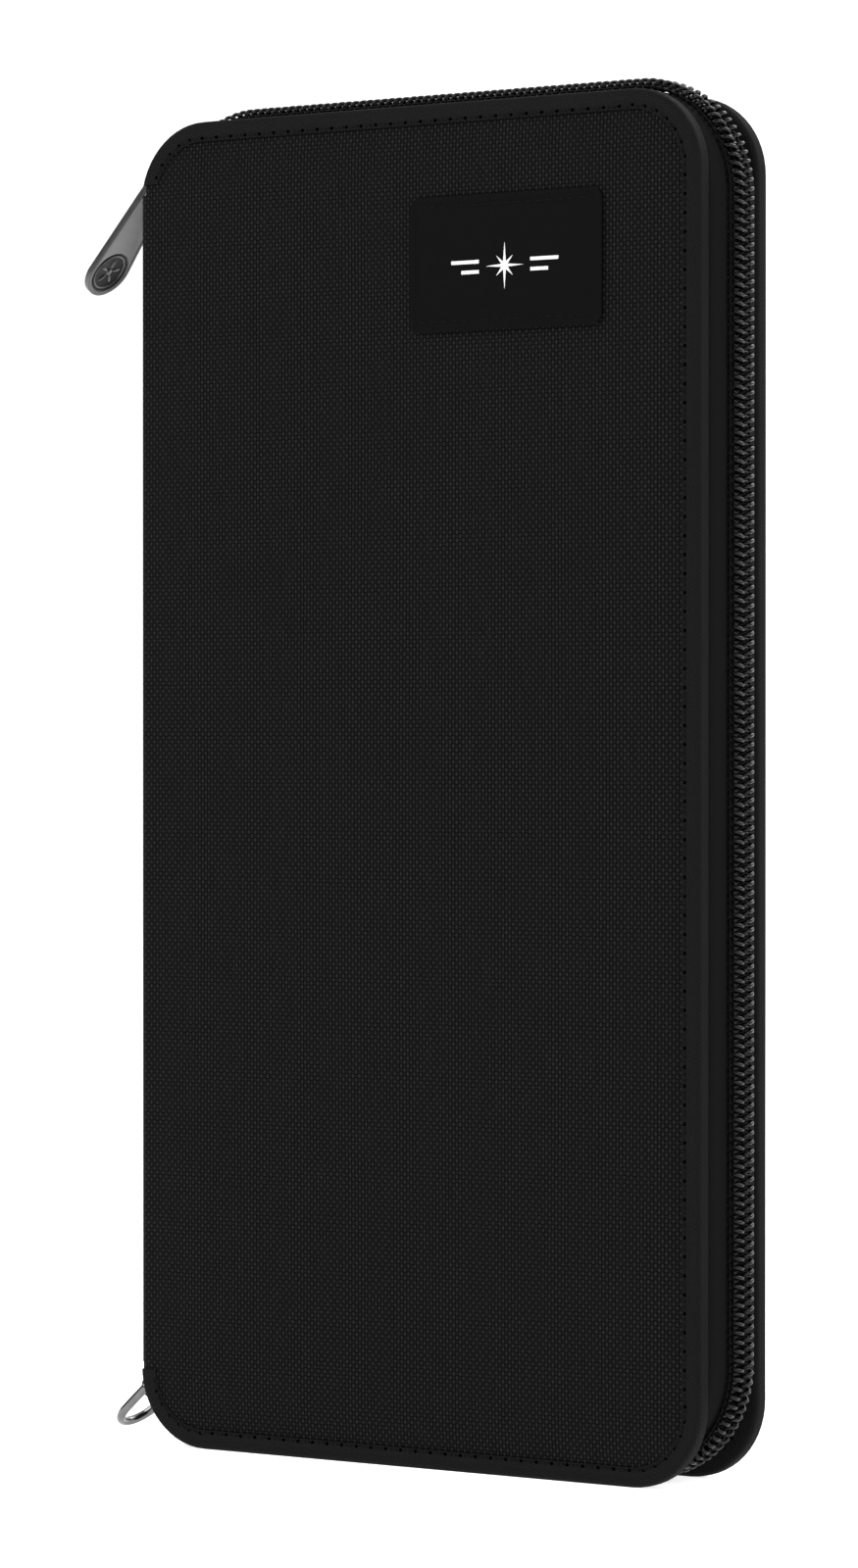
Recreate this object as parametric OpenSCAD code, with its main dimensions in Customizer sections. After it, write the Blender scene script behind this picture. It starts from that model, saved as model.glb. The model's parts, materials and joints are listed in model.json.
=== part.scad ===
// Zip-around travel wallet, standing upright and zipped shut.
// X runs from the spine (-X) to the zipped side (+X), Y from the front cover (-Y) to the back cover (+Y),
// Z is up. The origin is the middle of the back cover's bottom edge, where the wallet stands.

/* [Covers] */
// Width of each cover, over the binding
cover_w = 124; // [100:1:150]
// Height of each cover, over the binding
cover_h = 245; // [205:1:295]
// Closed thickness over both covers
wallet_t = 22; // [19:0.5:26]
// Radius of the covers' corners
corner_r = 14.5; // [10:0.5:18]
// Thickness of the outer fabric
panel_t = 0.7; // [0.4:0.1:1]
// Thickness of the stiffener board
board_t = 1.2; // [0.6:0.1:1.6]
// Thickness of the lining
lining_t = 0.7; // [0.3:0.1:1]
// Distance from the cover's edge to the board
board_inset = 4.2; // [2:0.1:8]

/* [Binding] */
// Width of the binding on each face
binding_w = 3.6; // [2.5:0.1:5]
// Thickness of the binding tape
binding_t = 0.4; // [0.2:0.1:0.6]
// Distance from the top edge to the binding's upper end on the spine side
binding_top_gap = 11; // [6:0.5:14]
// Distance from the bottom edge to the binding's lower end on the spine side
binding_bottom_gap = 14; // [10:0.5:18]

/* [Zip chain] */
// Height of the chain's middle over the cover's top and side edges
zip_rise = 1.7; // [0:0.1:2]
// Height of the chain's middle over the cover's bottom edge
zip_lift = 1.6; // [1.4:0.1:3]
// Radius of the chain at the corners
zip_corner_r = 20; // [16:0.5:24]
// Width of the closed chain
chain_w = 6.6; // [5:0.1:8]
// Thickness of the coils
coil_t = 2.3; // [1.6:0.1:3]
// Width of the seam between the two coils
coil_seam = 1.1; // [1.1:0.1:1.6]
// Thickness of the zip tape
tape_t = 0.8; // [0.4:0.1:1]
// Thickness of the tape's sewn edge on the inside of the binding
tape_edge_t = 0.5; // [0.3:0.1:0.8]
// Angle round the spine-side corners at which the chain ends
zip_end_angle = 45; // [39:1:50]
// Length of the stops at the chain's ends
stop_l = 2; // [1:0.5:3]

/* [Zip slider] */
// Angle round the top corner at which the slider is parked
slider_angle = 27; // [20:1:28]
// Angle that the slider's body covers
slider_span = 32; // [26:1:33]
// Width of the slider
slider_w = 9.4; // [9:0.1:11]
// Thickness of the slider's plates
slider_plate_t = 0.9; // [0.6:0.1:1.2]
// Thickness of the web that parts the coils
slider_web_t = 0.5; // [0.3:0.1:0.5]
// Clearance between the slider and the chain
slider_gap = 0.3; // [0.2:0.05:0.5]
// Height of the crown's hole over the slider's top plate
crown_h = 2.3; // [2:0.1:3]
// Width of the crown
crown_w = 3; // [2:0.1:4]

/* [Pull tab] */
// Radius of the pull tab's crossbar
crossbar_r = 0.87; // [0.6:0.01:1]
// Running clearance between a pin and its hole
pin_gap = 0.06; // [0.02:0.01:0.1]
// Length of the pull tab from its crossbar to its tip
pull_l = 28.5; // [22:0.5:40]
// Width of the pull tab
pull_w = 10.5; // [9.6:0.1:12]
// Thickness of the pull tab
pull_t = 1.2; // [1:0.1:2.2]
// Angle of the pull tab from hanging straight down
pull_angle = 38; // [25:1:60]

/* [D-ring] */
// Radius of the ring's wire
ring_wire_r = 0.85; // [0.6:0.01:1]
// Radius of the ring's round end, at the middle of the wire
ring_r = 5; // [4.8:0.1:5.3]
// Length of the ring's straight sides
ring_leg = 6; // [4.8:0.1:7]
// Distance of the ring's bar beyond the spine
ring_out = 3.4; // [3.2:0.1:9]
// Height of the ring's bar over the bottom edge
ring_up = 9.8; // [9.6:0.1:10.8]
// Angle of the ring from hanging straight down
ring_angle = 48; // [40:1:60]
// Width of the webbing loop that holds the ring
loop_w = 7.6; // [6:0.1:7.8]
// Thickness of the webbing
loop_t = 1.2; // [0.8:0.1:1.4]

/* [Spine] */
// Distance that the spine stands out past the covers' edges
spine_proud = 0.4; // [0:0.1:0.8]
// Distance from the top edge to the spine's stiffened strip
spine_top_gap = 19; // [19:0.5:30]
// Distance from the bottom edge to the spine's stiffened strip
spine_bottom_gap = 14; // [14:0.5:24]
// Thickness of the spine's stiffener
spine_board_t = 0.8; // [0.5:0.1:1]
// Gap between the spine and the covers
spine_gap = 0.4; // [0.3:0.1:0.8]

/* [Label] */
// Width of the label patch
label_w = 41.5; // [30:0.5:50]
// Height of the label patch
label_h = 24; // [16:0.5:30]
// Thickness of the label patch
label_t = 0.6; // [0.4:0.1:1]
// Distance from the spine to the label
label_from_spine = 62.5; // [45:0.5:64]
// Distance from the top edge to the label
label_from_top = 17; // [12:0.5:40]

/* [Pockets] */
// Thickness of a pocket's wall
pocket_t = 0.8; // [0.5:0.1:1]
// Distance from the cover's edge to the pockets
pocket_margin = 7; // [6:0.5:12]
// Height of the large slip pockets
slip_h = 172; // [120:1:180]
// Height of the passport pocket
passport_h = 118; // [90:1:130]
// Width of the card pockets
card_w = 62; // [56:1:68]
// Height of the lowest card pocket
card_h = 58; // [48:1:62]
// Step from one card pocket to the next
card_step = 15; // [10:1:18]
// Width of the clear window
window_w = 38; // [28:1:40]
// Height of the clear window
window_h = 78; // [60:1:90]
// Thickness of the clear window
window_t = 0.5; // [0.3:0.1:0.8]
// Width of the window's frame
window_frame_w = 4; // [3:0.5:6]
// Radius of the hole through the pen loop
pen_r = 4.2; // [4.1:0.1:4.4]
// Thickness of the pen loop's elastic
pen_loop_t = 0.8; // [0.5:0.1:1]
// Height of the pen loop
pen_loop_h = 22; // [15:1:30]
// Distance from the bottom edge to the pen loop
pen_loop_up = 190; // [184:1:200]

/* [Coin pocket] */
// Height of the coin pocket
coin_h = 38; // [32:1:40]
// Thickness of the coin pocket
coin_t = 2; // [1.8:0.1:2.2]
// Distance from the top edge to the coin pocket
coin_from_top = 14; // [10:0.5:20]
// Length of the coin zip
coin_zip_l = 92; // [60:1:94]
// Width of the coin zip's tape
coin_tape_w = 11; // [9:0.5:14]
// Width of the coin zip's closed chain
coin_chain_w = 4.4; // [4:0.1:5]
// Thickness of the coin zip's coils
coin_coil_t = 1.2; // [1:0.1:1.4]
// Length of the coin slider
coin_slider_l = 7; // [6:0.5:10]
// Thickness of the coin slider's plates
coin_plate_t = 0.6; // [0.4:0.1:0.7]
// Radius of the coin pull's crossbar
coin_bar_r = 0.5; // [0.4:0.01:0.6]
// Length of the coin pull
coin_pull_l = 13; // [9:0.5:14]
// Width of the coin pull
coin_pull_w = 6; // [5:0.1:8]

/* [Hidden] */
$fn = 64;

// Cover
x_left = -cover_w / 2;
x_right = cover_w / 2;
stack_t = panel_t + board_t + lining_t;
y_out = stack_t / 2 + binding_t;
y_panel = stack_t / 2;
y_lining = -stack_t / 2;
y_mid = y_out - wallet_t / 2;

// Chain
zip_x = x_left + zip_corner_r;
zip_z = cover_h + zip_rise - zip_corner_r;
zip_low_z = zip_lift + zip_corner_r;
y_coil_in = y_mid + coil_seam / 2;
y_coil_out = y_mid + chain_w / 2;
y_tape_end = -y_out - tape_edge_t;
stop_angle = stop_l / zip_corner_r * 180 / PI;

// Slider, as radii from the middle of the chain's top corner
slider_in_r = zip_corner_r - coil_t / 2 - slider_gap;
slider_out_r = zip_corner_r + coil_t / 2 + slider_gap;
slider_top_r = slider_out_r + slider_plate_t;
pivot_r = slider_top_r + crown_h;
pivot_x = zip_x - pivot_r * cos(slider_angle);
pivot_z = zip_z + pivot_r * sin(slider_angle);
crown_bore_r = crossbar_r + pin_gap;
crown_wall = 0.9;
leg_in = crown_w / 2 + slider_gap;
leg_w = 1.6;
window_low = crown_bore_r + crown_wall + 1.9;

// D-ring
ring_x = x_left - ring_out;
loop_bore_r = ring_wire_r + pin_gap;
loop_r = loop_bore_r + loop_t;
loop_tail_h = 14;

// Spine
x_spine = x_left - spine_proud;
spine_t = panel_t + spine_board_t + lining_t;
spine_back_y = y_lining - spine_gap;
spine_front_y = 2 * y_mid - spine_back_y;

// Pockets
pocket_x0 = x_left + pocket_margin;
pocket_x1 = x_right - pocket_margin;
pocket_z0 = pocket_margin;
pocket_r = 5;
card_x0 = pocket_x0 + 1;
card_z0 = pocket_z0 + 3;
window_x0 = pocket_x1 - 2 - window_w;
pen_x = x_spine + spine_t + pen_r + pen_loop_t + 2;
coin_z1 = cover_h - coin_from_top;
coin_z0 = coin_z1 - coin_h;
coin_zip_z = coin_z0 + 0.62 * coin_h;
coin_face_y = y_lining - coin_t;
coin_tape_t = 0.5;
coin_coil_y = coin_face_y - coin_tape_t;
coin_top_y = coin_coil_y - coin_coil_t - slider_gap;
coin_seam = coin_tape_t + 0.5;
coin_web_t = 0.4;
coin_groove = 1.3;
coin_slider_w = coin_chain_w + 2 * slider_gap + 1.4;
coin_slider_x = coin_zip_l / 2 - coin_slider_l / 2 - 1;
coin_bore_r = coin_bar_r + pin_gap;
coin_pivot_y = coin_top_y - coin_plate_t - coin_bore_r - 0.35;
coin_crown_w = 2;

// A flat outline drawn in X and Z becomes a plate from y0 to y1
module slab(y0, y1) {
    translate([0, y1, 0]) rotate([90, 0, 0]) linear_extrude(y1 - y0) children();
}

// Turns a piece of the back cover into its twin on the front cover
module front_side() {
    translate([0, 2 * y_mid, 0]) mirror([0, 1, 0]) children();
}

// Rectangle with round corners
module rounded(x0, z0, x1, z1, r) {
    translate([x0 + r, z0]) square([x1 - x0 - 2 * r, z1 - z0]);
    translate([x0, z0 + r]) square([x1 - x0, z1 - z0 - 2 * r]);
    for (x = [x0 + r, x1 - r], z = [z0 + r, z1 - r]) translate([x, z]) circle(r);
}

// Outline of a cover, moved in from its edge
module cover_outline(inset) {
    rounded(x_left + inset, inset, x_right - inset, cover_h - inset, corner_r - inset);
}

// Everything on the spine side of the chain's two ends
module past_chain_ends(angle) {
    reach = cover_w;
    polygon([[zip_x, zip_z], [zip_x - reach * cos(angle), zip_z + reach * sin(angle)],
             [x_left - reach, zip_z + reach], [x_left - reach, zip_low_z - reach],
             [zip_x - reach * cos(angle), zip_low_z - reach * sin(angle)], [zip_x, zip_low_z]]);
}

// Outline of the chain's path, moved out from its middle line
module chain_outline(out) {
    rounded(x_left - out, zip_lift - out, x_right + zip_rise + out, cover_h + zip_rise + out,
            zip_corner_r + out);
}

// Band that follows the chain between two offsets from its middle line
module chain_band(low, high, angle) {
    difference() {
        chain_outline(high);
        chain_outline(low);
        past_chain_ends(angle);
    }
}

// Part of a ring round the middle of the chain's top corner, between two angles above the spine side
module corner_band(r0, r1, a0, a1) {
    reach = 2 * r1;
    translate([zip_x, zip_z]) intersection() {
        difference() {
            circle(r1);
            circle(r0);
        }
        polygon([[0, 0], [-reach * cos(a0), reach * sin(a0)],
                 [-reach * cos((a0 + a1) / 2), reach * sin((a0 + a1) / 2)], [-reach * cos(a1), reach * sin(a1)]]);
    }
}

// Cover layers
module cover_panel() {
    slab(y_panel - panel_t, y_panel) cover_outline(binding_t);
}
module cover_board() {
    slab(y_lining + lining_t, y_panel - panel_t) cover_outline(board_inset);
}
module cover_lining() {
    slab(y_lining, y_lining + lining_t) cover_outline(binding_t);
}

// Binding tape folded round the cover's edge, open along the spine
module cover_binding() {
    difference() {
        slab(-y_out, y_out) difference() {
            cover_outline(0);
            cover_outline(binding_w);
            translate([x_left - 1, binding_bottom_gap])
                square([corner_r + 1, cover_h - binding_top_gap - binding_bottom_gap]);
        }
        slab(y_lining, y_panel) cover_outline(binding_t);
    }
}

// Half of the zip: its tape, from the binding to the coil, the coil, and its two end stops
module zip_tape() {
    slab(y_coil_out, -y_out) chain_band(-tape_t / 2, tape_t / 2, zip_end_angle);
    slab(y_tape_end, -y_out) difference() {
        chain_outline(tape_t / 2);
        cover_outline(binding_w);
        past_chain_ends(zip_end_angle);
    }
}
module zip_coil() {
    slab(y_coil_in, y_coil_out) chain_band(-coil_t / 2, coil_t / 2, zip_end_angle + stop_angle);
}
module zip_stops() {
    slab(y_coil_in, y_coil_out) difference() {
        chain_band(-coil_t / 2, coil_t / 2, zip_end_angle);
        difference() {
            translate([x_left - cover_w, -cover_h]) square([3 * cover_w, 3 * cover_h]);
            past_chain_ends(zip_end_angle + stop_angle);
        }
    }
}

module back_panel() { color([0.10, 0.10, 0.11]) cover_panel(); }
module back_board() { color([0.55, 0.52, 0.46]) cover_board(); }
module back_lining() { color([0.20, 0.20, 0.22]) cover_lining(); }
module back_binding() { color([0.05, 0.05, 0.06]) cover_binding(); }
module back_zip_tape() { color([0.07, 0.07, 0.08]) zip_tape(); }
module back_zip_coil() { color([0.02, 0.02, 0.02]) zip_coil(); }
module back_zip_stops() { color([0.03, 0.03, 0.03]) zip_stops(); }
module front_panel() { color([0.10, 0.10, 0.11]) front_side() cover_panel(); }
module front_board() { color([0.55, 0.52, 0.46]) front_side() cover_board(); }
module front_lining() { color([0.20, 0.20, 0.22]) front_side() cover_lining(); }
module front_binding() { color([0.05, 0.05, 0.06]) front_side() cover_binding(); }
module front_zip_tape() { color([0.07, 0.07, 0.08]) front_side() zip_tape(); }
module front_zip_coil() { color([0.02, 0.02, 0.02]) front_side() zip_coil(); }
module front_zip_stops() { color([0.03, 0.03, 0.03]) front_side() zip_stops(); }

// Spine: three layers between the covers
module spine_layer(x0, thick) {
    translate([x0, spine_front_y, spine_bottom_gap])
        cube([thick, spine_back_y - spine_front_y, cover_h - spine_top_gap - spine_bottom_gap]);
}
module spine_panel() { color([0.10, 0.10, 0.11]) spine_layer(x_spine, panel_t); }
module spine_board() { color([0.55, 0.52, 0.46]) spine_layer(x_spine + panel_t, spine_board_t); }
module spine_lining() { color([0.20, 0.20, 0.22]) spine_layer(x_spine + panel_t + spine_board_t, lining_t); }

// Webbing loop: an eye round the ring's bar, a strap under the spine and a tail sewn inside it
module d_ring_loop() {
    tail_x = x_spine + spine_t;
    strap_z = spine_bottom_gap - loop_t - spine_gap;
    color([0.06, 0.06, 0.07]) slab(y_mid - loop_w / 2, y_mid + loop_w / 2) difference() {
        union() {
            translate([ring_x, ring_up]) circle(loop_r);
            polygon([[ring_x, ring_up + loop_r], [ring_x + loop_r, ring_up],
                     [tail_x, strap_z], [tail_x, strap_z + loop_t]]);
            translate([tail_x, strap_z]) square([loop_t, loop_tail_h]);
        }
        translate([ring_x, ring_up]) circle(loop_bore_r);
    }
}

// D-ring: straight bar, two legs and a round end, hanging from the bar before it is turned outwards
module d_ring() {
    color([0.62, 0.62, 0.64]) translate([ring_x, y_mid, ring_up]) rotate([0, ring_angle, 0]) {
        rotate([90, 0, 0]) cylinder(r = ring_wire_r, h = 2 * ring_r, center = true);
        for (side = [-1, 1]) translate([0, side * ring_r, 0]) {
            sphere(ring_wire_r);
            translate([0, 0, -ring_leg]) cylinder(r = ring_wire_r, h = ring_leg);
        }
        translate([0, 0, -ring_leg]) rotate([90, 0, 90]) rotate([0, 0, 180])
            rotate_extrude(angle = 180) translate([ring_r, 0]) circle(ring_wire_r);
    }
}

// Zip slider: two curved plates joined by a web, side flanges that hold the coils, and a crown
module slider_body() {
    a0 = slider_angle - slider_span / 2;
    a1 = slider_angle + slider_span / 2;
    web_angle = slider_span / 4;
    flange_in = y_coil_out - y_mid + slider_gap;
    slot_r = tape_t / 2 + slider_gap;
    color([0.30, 0.30, 0.32]) {
        slab(y_mid - slider_w / 2, y_mid + slider_w / 2) {
            corner_band(slider_out_r, slider_top_r, a0, a1);
            corner_band(slider_in_r - slider_plate_t, slider_in_r, a0, a1);
        }
        for (side = [0, 1]) translate([0, side * (-flange_in - slider_w / 2), 0])
            slab(y_mid + flange_in, y_mid + slider_w / 2) {
                corner_band(zip_corner_r + slot_r, slider_top_r, a0, a1);
                corner_band(slider_in_r - slider_plate_t, zip_corner_r - slot_r, a0, a1);
            }
        slab(y_mid - slider_web_t / 2, y_mid + slider_web_t / 2)
            corner_band(slider_in_r - slider_plate_t, slider_top_r, a0, a0 + web_angle);
        translate([zip_x, 0, zip_z]) rotate([0, slider_angle, 0])
            slab(y_mid - crown_w / 2, y_mid + crown_w / 2) difference() {
                union() {
                    translate([-pivot_r, 0]) circle(crown_bore_r + crown_wall);
                    translate([-pivot_r, -crown_bore_r - crown_wall])
                        square([crown_h + slider_plate_t / 2, 2 * (crown_bore_r + crown_wall)]);
                }
                translate([-pivot_r, 0]) circle(crown_bore_r);
            }
    }
}

// Pull tab: crossbar, two legs beside the crown and a plate with a round end
module pull_tab() {
    tip_r = pull_w / 2;
    neck = leg_in + leg_w;
    color([0.40, 0.40, 0.42]) translate([pivot_x, y_mid, pivot_z]) rotate([0, pull_angle, 0]) {
        rotate([90, 0, 0]) cylinder(r = crossbar_r, h = 2 * leg_in + leg_w, center = true);
        rotate([90, 0, 90]) translate([0, 0, -pull_t / 2]) linear_extrude(pull_t) difference() {
            union() {
                translate([0, -pull_l + tip_r]) circle(tip_r);
                polygon([[-neck, crossbar_r], [-neck, -window_low], [-tip_r, -pull_l + tip_r],
                         [tip_r, -pull_l + tip_r], [neck, -window_low], [neck, crossbar_r]]);
            }
            translate([-leg_in, -window_low]) square([2 * leg_in, window_low + 2 * crossbar_r]);
        }
    }
}

// Label patch on the front cover
module label_patch() {
    x0 = x_left + label_from_spine;
    z1 = cover_h - label_from_top;
    color([0.04, 0.04, 0.05]) front_side() slab(y_panel, y_panel + label_t)
        rounded(x0, z1 - label_h, x0 + label_w, z1, 2);
}

// Flat pockets, each a wall sewn on the one behind it. Layer 0 lies on the lining.
module pocket_wall(layer, x0, z0, x1, z1, r) {
    slab(y_lining - (layer + 1) * pocket_t, y_lining - layer * pocket_t) rounded(x0, z0, x1, z1, r);
}
module document_pocket() {
    color([0.16, 0.16, 0.18]) pocket_wall(0, pocket_x0, pocket_z0, pocket_x1, pocket_z0 + slip_h, pocket_r);
}
module passport_pocket() {
    color([0.13, 0.13, 0.15])
        pocket_wall(1, pocket_x0 + 2, pocket_z0 + 2, pocket_x1 - 2, pocket_z0 + passport_h, pocket_r);
}
module boarding_pass_pocket() {
    color([0.16, 0.16, 0.18]) front_side()
        pocket_wall(0, pocket_x0, pocket_z0, pocket_x1, pocket_z0 + slip_h, pocket_r);
}
module card_pocket(i) {
    z_low = card_z0 + (i == 1 ? 0 : card_h + (i - 2) * card_step);
    color([0.13, 0.13, 0.15]) front_side()
        pocket_wall(1, card_x0, z_low, card_x0 + card_w, card_z0 + card_h + (i - 1) * card_step, 1.5);
}
module window_frame() {
    color([0.12, 0.12, 0.13]) front_side() difference() {
        pocket_wall(1, window_x0, card_z0, window_x0 + window_w, card_z0 + window_h, 3);
        pocket_wall(1, window_x0 + window_frame_w, card_z0 + window_frame_w,
                    window_x0 + window_w - window_frame_w, card_z0 + window_h - window_frame_w, 2);
    }
}
module clear_window() {
    color([0.75, 0.80, 0.82, 0.4]) front_side()
        slab(y_lining - pocket_t - window_t, y_lining - pocket_t)
            rounded(window_x0 + window_frame_w, card_z0 + window_frame_w,
                    window_x0 + window_w - window_frame_w, card_z0 + window_h - window_frame_w, 2);
}

// Elastic loop for a pen, sewn to the front lining beside the spine
module pen_loop() {
    loop_r = pen_r + pen_loop_t;
    color([0.08, 0.08, 0.09]) front_side() translate([pen_x, y_lining - loop_r, pen_loop_up]) difference() {
        union() {
            cylinder(r = loop_r, h = pen_loop_h);
            translate([-loop_r, loop_r - pen_loop_t, 0]) cube([2 * loop_r, pen_loop_t, pen_loop_h]);
        }
        translate([0, 0, -1]) cylinder(r = pen_r, h = pen_loop_h + 2);
    }
}

// Coin pocket on the back lining, with a groove that the slider's lower plate runs in
module coin_pocket() {
    color([0.14, 0.14, 0.16]) difference() {
        slab(coin_face_y, y_lining) rounded(pocket_x0, coin_z0, pocket_x1, coin_z1, pocket_r);
        translate([-coin_zip_l / 2, coin_face_y - 1, coin_zip_z - coin_chain_w / 2 - slider_gap])
            cube([coin_zip_l, 1 + coin_groove, coin_chain_w + 2 * slider_gap]);
    }
}
module coin_half(low, high, y0, y1) {
    for (side = [-1, 1]) translate([-coin_zip_l / 2, y0, coin_zip_z + (side > 0 ? low : -high)])
        cube([coin_zip_l, y1 - y0, high - low]);
}
module coin_zip_tape() {
    color([0.07, 0.07, 0.08]) coin_half(coin_seam / 2, coin_tape_w / 2, coin_coil_y, coin_face_y);
}
module coin_zip_coil() {
    color([0.02, 0.02, 0.02]) coin_half(coin_seam / 2, coin_chain_w / 2, coin_coil_y - coin_coil_t, coin_coil_y);
}

// Coin slider: plates above and below the tape, a web between them, and a crown
module coin_slider() {
    low_y = coin_face_y + slider_gap;
    color([0.30, 0.30, 0.32]) translate([coin_slider_x, 0, coin_zip_z]) {
        translate([-coin_slider_l / 2, coin_top_y - coin_plate_t, -coin_slider_w / 2])
            cube([coin_slider_l, coin_plate_t, coin_slider_w]);
        for (side = [-1, 1]) translate([-coin_slider_l / 2, coin_top_y, side * (coin_slider_w / 2 - 0.35) - 0.35])
            cube([coin_slider_l, coin_coil_t, 0.7]);
        translate([-coin_slider_l / 2, low_y, -coin_chain_w / 2]) cube([coin_slider_l, coin_plate_t, coin_chain_w]);
        translate([-coin_slider_l / 2, coin_top_y - coin_plate_t, -coin_web_t / 2])
            cube([coin_slider_l / 3, low_y - coin_top_y + 2 * coin_plate_t, coin_web_t]);
        difference() {
            union() {
                translate([0, coin_pivot_y, 0]) cylinder(r = coin_bore_r + 0.5, h = coin_crown_w, center = true);
                translate([-coin_bore_r - 0.5, coin_pivot_y, -coin_crown_w / 2])
                    cube([2 * (coin_bore_r + 0.5), coin_top_y - coin_pivot_y, coin_crown_w]);
            }
            translate([0, coin_pivot_y, 0]) cylinder(r = coin_bore_r, h = 2 * coin_crown_w, center = true);
        }
    }
}

// Coin pull: lies along the zip towards its open end
module coin_pull() {
    inner = coin_crown_w / 2 + slider_gap;
    outer = coin_pull_w / 2;
    bar = 2 * coin_bar_r;
    color([0.40, 0.40, 0.42]) translate([coin_slider_x, coin_pivot_y, coin_zip_z]) {
        cylinder(r = coin_bar_r, h = 2 * inner + 1, center = true);
        slab(-coin_bar_r, coin_bar_r) difference() {
            rounded(-coin_pull_l, -outer, coin_bar_r, outer, bar);
            translate([-4 * bar, -inner]) square([4 * bar + 2, 2 * inner]);
        }
    }
}

back_panel();
back_board();
back_lining();
back_binding();
back_zip_tape();
back_zip_coil();
back_zip_stops();
document_pocket();
passport_pocket();
coin_pocket();
coin_zip_tape();
coin_zip_coil();
spine_panel();
spine_board();
spine_lining();
d_ring_loop();
front_panel();
front_board();
front_lining();
front_binding();
front_zip_tape();
front_zip_coil();
front_zip_stops();
label_patch();
boarding_pass_pocket();
card_pocket(1);  // card_pocket_1
card_pocket(2);  // card_pocket_2
card_pocket(3);  // card_pocket_3
card_pocket(4);  // card_pocket_4
window_frame();
clear_window();
pen_loop();
slider_body();
pull_tab();
d_ring();
coin_slider();
coin_pull();
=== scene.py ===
import math
import bpy
import bmesh
from mathutils import Matrix, Vector
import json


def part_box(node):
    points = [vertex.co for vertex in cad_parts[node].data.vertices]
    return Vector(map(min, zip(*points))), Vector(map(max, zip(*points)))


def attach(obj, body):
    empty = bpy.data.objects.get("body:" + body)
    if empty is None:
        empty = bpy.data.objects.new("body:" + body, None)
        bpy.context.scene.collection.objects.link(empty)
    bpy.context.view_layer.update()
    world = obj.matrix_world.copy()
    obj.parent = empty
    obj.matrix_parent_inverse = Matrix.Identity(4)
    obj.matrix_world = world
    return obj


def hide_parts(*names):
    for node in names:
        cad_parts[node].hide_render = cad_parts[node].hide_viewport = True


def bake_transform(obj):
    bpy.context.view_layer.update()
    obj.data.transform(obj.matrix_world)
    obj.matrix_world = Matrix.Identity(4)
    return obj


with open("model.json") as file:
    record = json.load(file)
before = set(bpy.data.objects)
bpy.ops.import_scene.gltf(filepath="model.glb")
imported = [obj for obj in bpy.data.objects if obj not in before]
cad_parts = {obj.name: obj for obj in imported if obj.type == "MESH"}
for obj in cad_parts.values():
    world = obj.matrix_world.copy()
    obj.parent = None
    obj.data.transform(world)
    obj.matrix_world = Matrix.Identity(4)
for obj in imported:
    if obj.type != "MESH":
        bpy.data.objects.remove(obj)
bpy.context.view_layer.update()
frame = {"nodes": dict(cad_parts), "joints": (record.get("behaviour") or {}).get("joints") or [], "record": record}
mm = 0.001

# ---------------------------------------------------------------------------------------------------------
# The camera stands to the right of the front cover and a little over half its height, and looks at the
# middle of the cover. A long lens keeps the uprights upright.
cover_low, cover_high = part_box("front_binding")
view_azimuth = math.radians(35.7)
view_distance = 1041 * mm
view_height = 131.1 * mm
view_tilt = math.radians(0.44)
view_right_of_middle = 4.2 * mm
bpy.ops.object.camera_add(
    location=(view_right_of_middle + math.sin(view_azimuth) * view_distance,
              cover_low.y - math.cos(view_azimuth) * view_distance, view_height),
    rotation=(math.pi / 2 - view_tilt, 0, view_azimuth))
camera = bpy.context.object
camera.data.lens = 133.3
camera.data.sensor_width = 36
camera.data.clip_start = 0.05
bpy.context.scene.camera = camera


# ---------------------------------------------------------------------------------------------------------
# The floor is one matt white sheet that glows a little and sweeps up behind the wallet. Three soft boxes
# light it: a wide one overhead and to the left, a tall one on the zipped side and a weak one behind. The
# studio is bright behind the wallet and dim in front of it, which keeps the black cloth black.
class Wire:
    """A node's output socket that can be used in sums."""

    def __init__(self, finish, socket):
        self.finish = finish
        self.socket = socket

    def do(self, operation, first, second=None):
        values = {0: first} if second is None else {0: first, 1: second}
        return self.finish.node("Math", {"operation": operation}, values)

    def __add__(self, other):
        return self.do("ADD", self, other)

    def __radd__(self, other):
        return self.do("ADD", other, self)

    def __sub__(self, other):
        return self.do("SUBTRACT", self, other)

    def __rsub__(self, other):
        return self.do("SUBTRACT", other, self)

    def __mul__(self, other):
        return self.do("MULTIPLY", self, other)

    def __rmul__(self, other):
        return self.do("MULTIPLY", other, self)

    def __truediv__(self, other):
        return self.do("DIVIDE", self, other)

    def __mod__(self, other):
        return self.do("FLOORED_MODULO", self, other)

    def __gt__(self, other):
        return self.do("GREATER_THAN", self, other)

    def __lt__(self, other):
        return self.do("LESS_THAN", self, other)

    def floor(self):
        return self.do("FLOOR", self)

    def fract(self):
        return self.do("FRACT", self)

    def sine(self):
        return self.do("SINE", self)

    def abs(self):
        return self.do("ABSOLUTE", self)


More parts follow.
